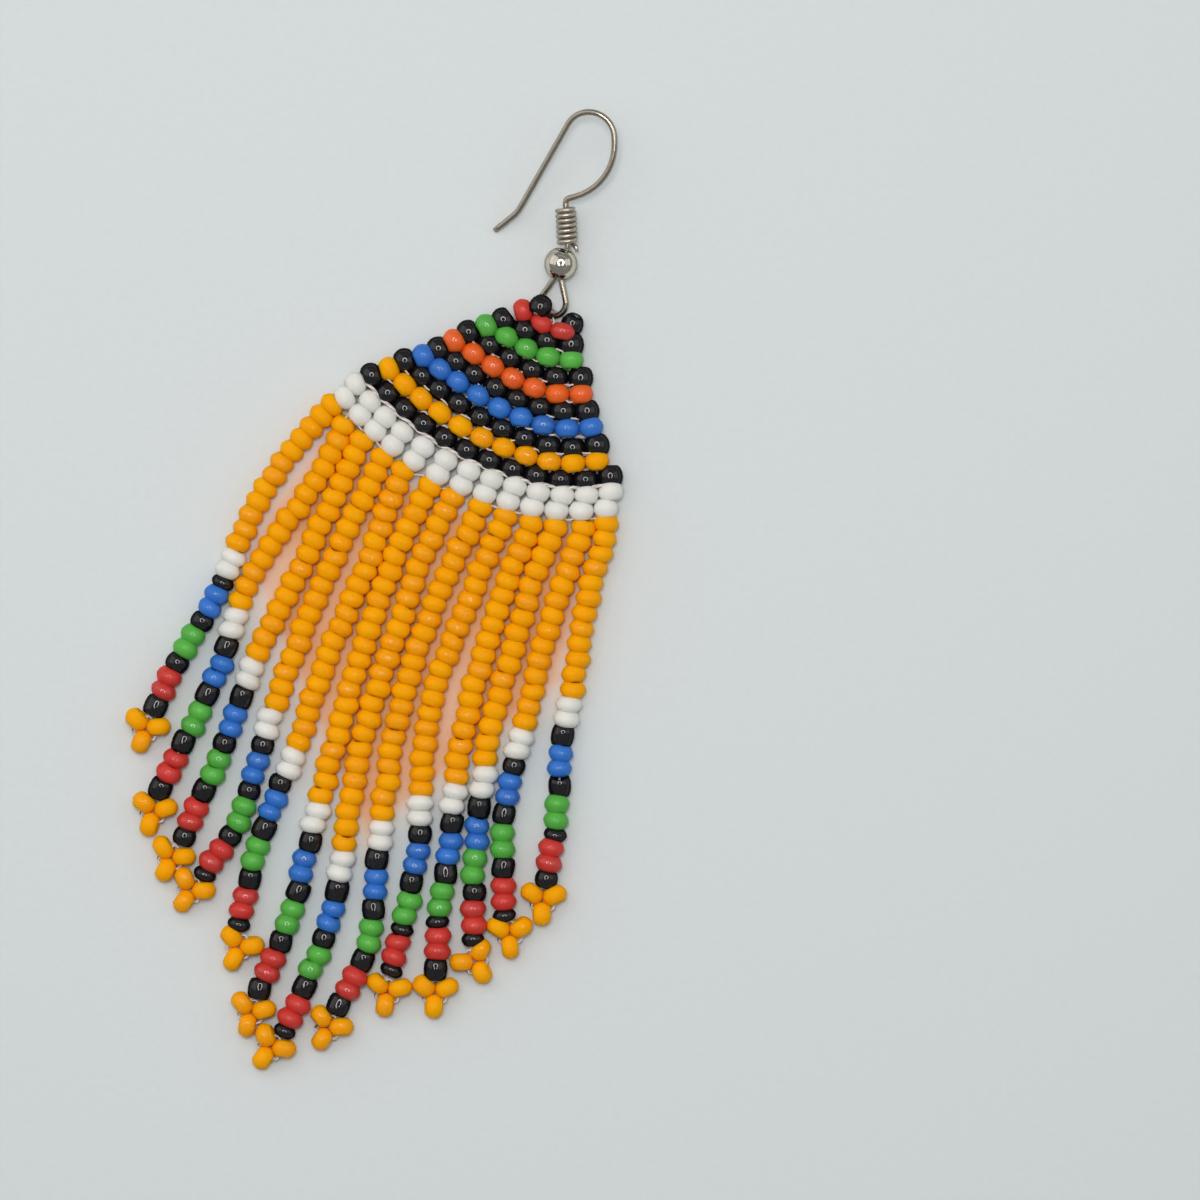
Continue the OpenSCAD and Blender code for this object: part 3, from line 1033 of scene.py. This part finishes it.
@dataclass
class EarHook:
    """The bent wire hook, the coil wound round its shank, and the drilled ball under the coil.

    The three are drawn flat round the middle of the ball, in millimetres and degrees, and laid down
    together as they lie: turned about +X and then about +Y.
    """

    ball_centre: Triple = (16.94, 29.68, 1.5)
    laid: Pair = (8.8, -16.2)
    wire: float = 0.55
    wire_sides: int = 16
    # Distance between the two wires in the ball, and how far up and down from its middle they go
    neck_gap: float = 0.61
    neck_end: float = 1.75
    neck_foot: float = 1.25
    shank_foot: float = 1.6
    shank_lean: float = 14.0
    shank_bend: float = 1.2
    loop_lean: float = 24.0
    loop_bend: float = 0.6
    loop: float = 1.2
    # Straight length, bend radius and turn to the left of each stretch above the coil: the step out
    # of the shank, the step up, the high bend, the tail and its bent tip
    above: tuple[Triple, ...] = (
        (3.7, 0.5, -77.0), (0.6, 5.0, 77.0), (0.4, 2.35, 147.0), (8.85, 3.0, -21.0), (2.22, 0.0, 0.0)
    )
    # Distance between the rings of a straight, and degrees between those of a bend
    ring_gap: float = 0.6
    ring_angle: float = 7.5
    coil_wire: float = 0.43
    coil_wire_sides: int = 10
    coil_radius: float = 0.76
    coil_turns: float = 6.75
    coil_pitch: float = 0.47
    coil_start: Triple = (0.7, 1.85, 0.0)
    coil_tail: tuple[Triple, ...] = (
        (0.75, 0.5, -0.75), (0.6, 0.68, -0.4), (0.3, 0.77, -0.12)
    )
    coil_rings: int = 20
    ball: float = 3.0
    ball_rim: float = 0.08
    ball_steps: int = 16
    ball_sides: int = 40
    # Play of the two wires in the ball's hole
    bore_play: float = 0.1

    def laying(self) -> Matrix:
        """Gives the move from the flat drawing, in metres, to the hook as it lies."""
        turn = turning(self.laid[1], "Y") @ turning(self.laid[0], "X")
        return Matrix.Translation(on_drawing(*self.ball_centre)) @ turn

    def stretches(self) -> list[Triple]:
        """Lists the stretches of the wire, from the loop's free end.

        Returns:
            Straight length, bend radius and turn to the left of each, in millimetres and degrees.
        """
        lean = math.radians(self.loop_lean)
        spread = self.loop * math.cos(lean) - self.neck_gap / 2 - self.loop_bend * (1 - math.cos(lean))
        leg = spread / math.sin(lean)
        return [
            (self.neck_end, self.loop_bend, -self.loop_lean),
            (leg, self.loop, 180 + 2 * self.loop_lean),
            (leg, self.loop_bend, -self.loop_lean),
            (self.neck_foot + self.shank_foot, self.shank_bend, self.shank_lean),
            *self.above,
        ]

    def wire_path(self) -> list[Vector]:
        """Walks the stretches and gives the middle of the wire, flat on the drawing, in metres."""
        foot = Vector((-self.neck_gap / 2, self.neck_end - self.neck_foot, 0.0)) * MM
        spot = turning(-self.shank_lean, "Z") @ foot
        facing = -self.shank_lean + 180 + 90
        path = [spot]
        for length, radius, turn in self.stretches():
            ahead = pointing(facing)
            pieces = max(1, round(length / self.ring_gap))
            path += [spot + ahead * (length * MM * i / pieces) for i in range(1, pieces + 1)]
            spot = path[-1]
            if turn == 0:
                continue
            side = 1 if turn > 0 else -1
            middle = spot + UP.cross(ahead) * radius * MM * side
            rings = max(2, round(abs(turn) / self.ring_angle))
            arm = spot - middle
            path += [middle + turning(turn * i / rings, "Z") @ arm for i in range(1, rings + 1)]
            spot = path[-1]
            facing += turn
        return path

    def hook(self) -> Object:
        """Makes the bent wire."""
        threading = Threading(self.wire_sides)
        lay = self.laying()
        threading.draw([lay @ spot for spot in self.wire_path()], self.wire / 2 * MM, tip_share=0.8)
        thing = finished_piece("ear_wire", threading.bm, [Metal.HOOK.value.material()])
        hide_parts("ear_hook")
        return thing

    def coil(self) -> Object:
        """Makes the wound wire, with its loose end."""
        spots = [Vector(spot) for spot in self.coil_tail]
        for i in range(round(self.coil_turns * self.coil_rings) + 1):
            angle = math.radians(90 + 360 * i / self.coil_rings)
            across, along = self.coil_radius * math.cos(angle), self.coil_radius * math.sin(angle)
            spots.append(Vector((across, along, self.coil_pitch * i / self.coil_rings)))
        lay = self.laying() @ (Matrix.Translation(Vector(self.coil_start) * MM) @ turning(-90, "X"))
        threading = Threading(self.coil_wire_sides)
        threading.draw([lay @ (spot * MM) for spot in spots], self.coil_wire / 2 * MM)
        thing = finished_piece("shank_coil", threading.bm, [Metal.COIL.value.material()])
        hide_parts("hook_coil")
        return thing

    def drilled_ball(self) -> Object:
        """Makes the ball: a drilled outline with softened rims, spun round the hole."""
        radius = self.ball / 2 * MM
        bore = (self.neck_gap + self.wire + self.bore_play) / 2 * MM
        rim = self.ball_rim * MM
        first = math.asin((bore + rim) / radius)
        arc = [first + (math.pi - 2 * first) * i / self.ball_steps for i in range(self.ball_steps + 1)]
        outline = [(radius * math.sin(angle), radius * math.cos(angle)) for angle in arc]
        edge = outline[0][1]
        bm = bmesh.new()
        lathe(bm, [*outline, (bore, rim - edge), (bore, edge - rim)], self.ball_sides)
        lay = self.laying() @ (turning(-self.shank_lean, "Z") @ turning(90, "X"))
        bmesh.ops.transform(bm, matrix=lay, verts=bm.verts)
        thing = finished_piece("drilled_ball", bm, [Metal.BALL.value.material()])
        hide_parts("hook_ball")
        return thing

    def build(self) -> list[Object]:
        """Builds the wire, the coil and the ball."""
        return [self.hook(), self.coil(), self.drilled_ball()]


@dataclass
class Hanging:
    """The stitch that passes under the hook's loop and ties the fan to it."""

    route: tuple[Triple, ...] = (
        (15.5, 26.45, 1.62),
        (15.68, 26.4, 1.15),
        (16.0, 25.85, 0.5),
        (16.5, 25.4, 0.2),
        (16.9, 25.1, 0.2),
        (17.1, 24.95, 0.35),
    )
    sides: int = 8
    steps: int = 18

    def build(self) -> list[Object]:
        """Builds the stitch."""
        threading = Threading(self.sides)
        route = Route([on_drawing(*spot) for spot in self.route])
        path = [route.at(route.length * i / self.steps) for i in range(self.steps + 1)]
        threading.draw(path, THREAD / 2)
        thing = finished_piece("hanging_thread", threading.bm, [ThreadFinish().material()])
        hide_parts("hanger_stitch")
        return [thing]


@dataclass(frozen=True)
class BoardFinish(Finish):
    """Pale matte board with a faint fibrous grain, with a painted warm glow round the orange glass on it.

    Light that would come through the orange glass is painted into the board's colour close to it. The
    orange beads lie inside five lines, each given by the direction to its orange side and its distance
    from the drawing's zero, and begin at a distance from the middle of the fan's arcs.
    """

    name: str = "pale_matte_board"
    light: str = "#d8dfe2"
    shade: str = "#d3dadb"
    roughness: float = 0.75
    fibre: float = 0.6 * MM
    fibre_detail: float = 4.0
    fibre_depth: float = 0.01 * MM
    fibre_strength: float = 0.3
    # The painted glow's colour where little and where much of that light would get, and how suddenly it
    # changes
    warm: str = "#e7e4df"
    close: str = "#ecb374"
    closeness: float = 6.0
    lines: tuple[tuple[Triple, float], ...] = (
        ((0.923, 0.386, 0.0), 11.0 * MM),
        ((-0.622, 0.783, 0.0), 18.6 * MM),
        ((0.787, -0.617, 0.0), 13.6 * MM),
        ((0.891, -0.454, 0.0), 13.2 * MM),
        ((-0.978, 0.211, 0.0), 19.8 * MM),
    )
    start: float = 27.8 * MM
    # How far outside and inside the lines the painted glow begins and is full
    fade: Pair = (-1.5 * MM, 2.5 * MM)
    # Openness of the sky above a place where the painted glow begins and is full, seen within a reach
    openness: Pair = (0.95, 0.45)
    reach: float = 2.2 * MM
    samples: int = 6

    def shader(self, tree: NodeTree) -> Inputs:
        """Builds the board, with the light through the orange glass painted into its colour."""
        place = add_node(tree, "TexCoord", output="Object")
        weave = {"Vector": place, "Scale": 1 / self.fibre, "Detail": self.fibre_detail}
        fibres = add_node(tree, "TexNoise", weave)
        # Painted light: the glow of light through the orange glass goes into the board's base colour
        painted_glow = self.painted_glow(tree, place)
        close = add_node(tree, "Math", {0: painted_glow, 1: self.closeness}, operation="POWER")
        plain = {"Factor": fibres, 6: linear(self.light), 7: linear(self.shade)}
        warmed = {"Factor": close, 6: linear(self.warm), 7: linear(self.close)}
        board, warm = [
            add_node(tree, "Mix", mix, output=2, data_type="RGBA") for mix in (plain, warmed)
        ]
        colours = {"Factor": painted_glow, 6: board, 7: warm}
        grain = {"Height": fibres, "Distance": self.fibre_depth, "Strength": self.fibre_strength}
        return {
            "Base Color": add_node(tree, "Mix", colours, output=2, data_type="RGBA"),
            "Roughness": self.roughness,
            "Normal": add_node(tree, "Bump", grain),
        }

    def painted_glow(self, tree: NodeTree, place: NodeSocket) -> NodeSocket:
        """Works out how much painted glow, standing in for light through the orange glass, goes into the
        board's colour.

        Args:
            tree: The board's node tree.
            place: The place on the board.

        Returns:
            The output that goes from 0, none, to 1 close between two orange strings.
        """
        middle = on_drawing(*Fan.centre)
        away = add_node(tree, "VectorMath", {0: place, 1: middle}, output="Value", operation="DISTANCE")
        least = add_node(tree, "Math", {0: away, 1: self.start}, operation="SUBTRACT")
        for direction, distance in self.lines:
            side = {0: place, 1: direction}
            along = add_node(tree, "VectorMath", side, output="Value", operation="DOT_PRODUCT")
            inside = add_node(tree, "Math", {0: along, 1: distance}, operation="ADD")
            least = add_node(tree, "Math", {0: least, 1: inside}, operation="MINIMUM")
        fade = {"Value": least, "From Min": self.fade[0], "From Max": self.fade[1]}
        zone = add_node(tree, "MapRange", fade, interpolation_type="SMOOTHSTEP")
        sky = add_node(
            tree, "AmbientOcclusion", {"Distance": self.reach}, output="AO", samples=self.samples
        )
        narrow = {"Value": sky, "From Min": self.openness[0], "From Max": self.openness[1]}
        close = add_node(tree, "MapRange", narrow)
        return add_node(tree, "Math", {0: zone, 1: close}, operation="MULTIPLY")


@dataclass
class Studio:
    """The pale floor, the soft light and the camera above the earring."""

    # The camera looks straight down at this place, and its frame is this wide there
    aim: Triple = (20.5, -0.86, 1.0)
    view_width: float = 109.1 * MM
    lens: float = 180.0
    sensor: float = 36.0
    clip: Pair = (0.01, 10.0)
    floor_side: float = 3.0
    sky_colour: str = "#e9eef2"
    sky_strength: float = 0.27
    # The lamps hang round the camera, a little towards the top of the picture
    ring_distance: float = 0.45
    ring_tilt: float = 8.0
    # Half-angle and thickness in degrees, and brightness, of the ring lamp and its faint outer rim
    rings: tuple[Triple, ...] = ((18.5, 7.5, 9.5), (50.0, 4.0, 0.5))
    # Start and sweep in degrees of each lit arc of a ring, anticlockwise from +X, and its steps
    arcs: tuple[tuple[float, float, int], ...] = (
        (-32.0, 244.0, 32), (-62.0, 18.0, 4), (224.0, 18.0, 4)
    )
    # Place, side and power of the fill lights, which give no glint, and of the soft boxes
    fills: tuple[tuple[Triple, float, float], ...] = (
        ((0.0, 0.06, 0.5), 0.1, 0.84),
        ((-0.06, 0.16, 0.5), 0.5, 0.93),
    )
    boxes: tuple[tuple[Triple, float, float], ...] = (
        ((-0.55, 0.3, 0.38), 0.75, 1.25),
        ((0.5, 0.12, 0.4), 0.45, 0.4),
    )

    def floor(self) -> None:
        """Lays the pale matte board that the earring lies on."""
        bm = bmesh.new()
        bmesh.ops.create_grid(bm, x_segments=1, y_segments=1, size=self.floor_side / 2)
        board = placed("pale_floor", finished_mesh("pale_floor", bm))
        board.data.materials.append(BoardFinish().material())

    def ring_lamp(self, name: str, half_angle: float, thickness: float, strength: float) -> None:
        """Hangs one ring lamp, which gives the glossy beads their small round glint.

        Args:
            name: The lamp's name.
            half_angle: Half-angle of the ring as the earring sees it, in degrees.
            thickness: Thickness of the ring, in degrees.
            strength: Brightness of the ring.
        """
        material = bpy.data.materials.new(name + "_light")
        tree = cleared_tree(material)
        glow = add_node(tree, "Emission", {"Color": linear(LAMP_COLOUR), "Strength": strength})
        add_node(tree, "OutputMaterial", {"Surface": glow})
        angles = [math.radians(half_angle + side * thickness / 2) for side in (-1, 1)]
        away = self.ring_distance * math.cos(math.radians(half_angle))
        bm = bmesh.new()
        for start, sweep, steps in self.arcs:
            ends = [bm.verts.new((away * math.tan(angle), 0.0, away)) for angle in angles]
            bmesh.ops.transform(bm, matrix=turning(start, "Z"), verts=ends)
            edge = bm.edges.new(ends)
            bmesh.ops.spin(bm, geom=[*ends, edge], axis=UP, angle=math.radians(sweep), steps=steps)
        hang = Matrix.Translation(on_drawing(*self.aim)) @ turning(-self.ring_tilt, "X")
        bmesh.ops.transform(bm, matrix=hang, verts=bm.verts)
        lamp = placed(name, finished_mesh(name, bm))
        lamp.data.materials.append(material)
        lamp.visible_camera = False
        lamp.visible_shadow = False
        lamp.visible_diffuse = False

    def soft_light(self, name: str, place: Triple, side: float, power: float, glints: bool) -> None:
        """Sets one soft square light that faces the earring.

        Args:
            name: The light's name.
            place: Where it stands, in metres.
            side: Its side, in metres.
            power: Its power, in watts.
            glints: Whether it shows in shiny surfaces.
        """
        light = bpy.data.lights.new(name, "AREA")
        light.shape = "SQUARE"
        light.size = side
        light.energy = power
        light.color = linear(LAMP_COLOUR)[:3]
        lamp = placed(name, light)
        lamp.location = place
        lamp.rotation_euler = (-Vector(place)).to_track_quat("-Z", "Y").to_euler()
        lamp.visible_glossy = glints

    def sky(self) -> None:
        """Fills the room with pale, even light."""
        world = bpy.data.worlds.new("pale_room")
        bpy.context.scene.world = world
        tree = cleared_tree(world)
        light = {"Color": linear(self.sky_colour), "Strength": self.sky_strength}
        add_node(tree, "OutputWorld", {"Surface": add_node(tree, "Background", light)})

    def camera(self) -> None:
        """Hangs the camera straight above, as the photograph was taken."""
        scene = bpy.context.scene
        data = bpy.data.cameras.new("overhead_camera")
        data.lens = self.lens
        data.sensor_width = self.sensor
        data.clip_start, data.clip_end = self.clip
        thing = placed("overhead_camera", data)
        distance = self.view_width * self.lens / self.sensor
        thing.location = on_drawing(*self.aim) + UP * distance
        scene.camera = thing
        scene.view_settings.view_transform = "Standard"
        scene.view_settings.look = "None"

    def build(self) -> None:
        """Builds the floor, the lights and the camera."""
        self.floor()
        for number, ring in enumerate(self.rings, 1):
            self.ring_lamp(f"ring_lamp_{number}", *ring)
        for number, light in enumerate(self.fills, 1):
            self.soft_light(f"fill_light_{number}", *light, glints=False)
        for number, light in enumerate(self.boxes, 1):
            self.soft_light(f"soft_box_{number}", *light, glints=True)
        self.sky()
        self.camera()


def main() -> None:
    """Builds the stage and every sub-assembly, and reports each piece."""
    logging.basicConfig(level=logging.INFO, format="%(name)s %(message)s")
    Studio().build()
    for assembly in (EarHook(), Hanging(), Fan(), Fringe()):
        for piece in assembly.build():
            LOG.info("%s: %s, %d faces", type(assembly).__name__, piece.name, len(piece.data.polygons))


if __name__ == "__main__":
    main()
